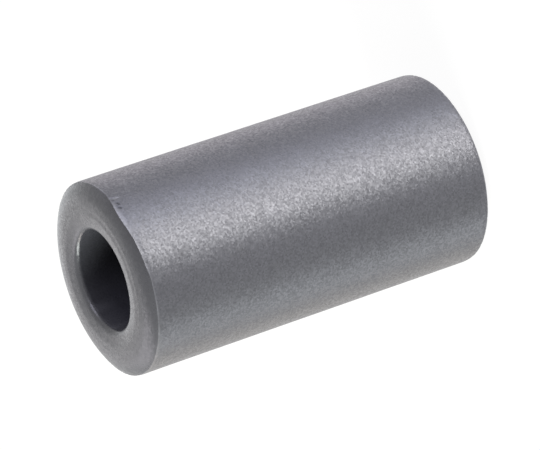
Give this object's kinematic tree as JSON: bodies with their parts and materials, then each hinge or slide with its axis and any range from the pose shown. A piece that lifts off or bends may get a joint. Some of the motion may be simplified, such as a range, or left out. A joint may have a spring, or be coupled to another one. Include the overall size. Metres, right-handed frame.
{
  "type": "ferrite sleeve core",
  "caption": "Round ferrite tube that a cable passes through to damp radio noise, pressed and sintered whole, with crowned ends and a rounded bore mouth.",
  "frame": {"origin": "centre of the lower end face, where the sleeve stands", "axes": "+Z along the bore, towards the end that the picture shows; the sleeve is round about Z, so X and Y are free"},
  "size_m": [0.0142, 0.0142, 0.0286],
  "materials": {
    "ferrite": "as-sintered dark grey ferrite ceramic, satin, with a fine sparkle of grains and a worn line along the end creases"
  },
  "bodies": {
    "root": {"ferrite_sleeve": "ferrite"}
  },
  "joints": []
}
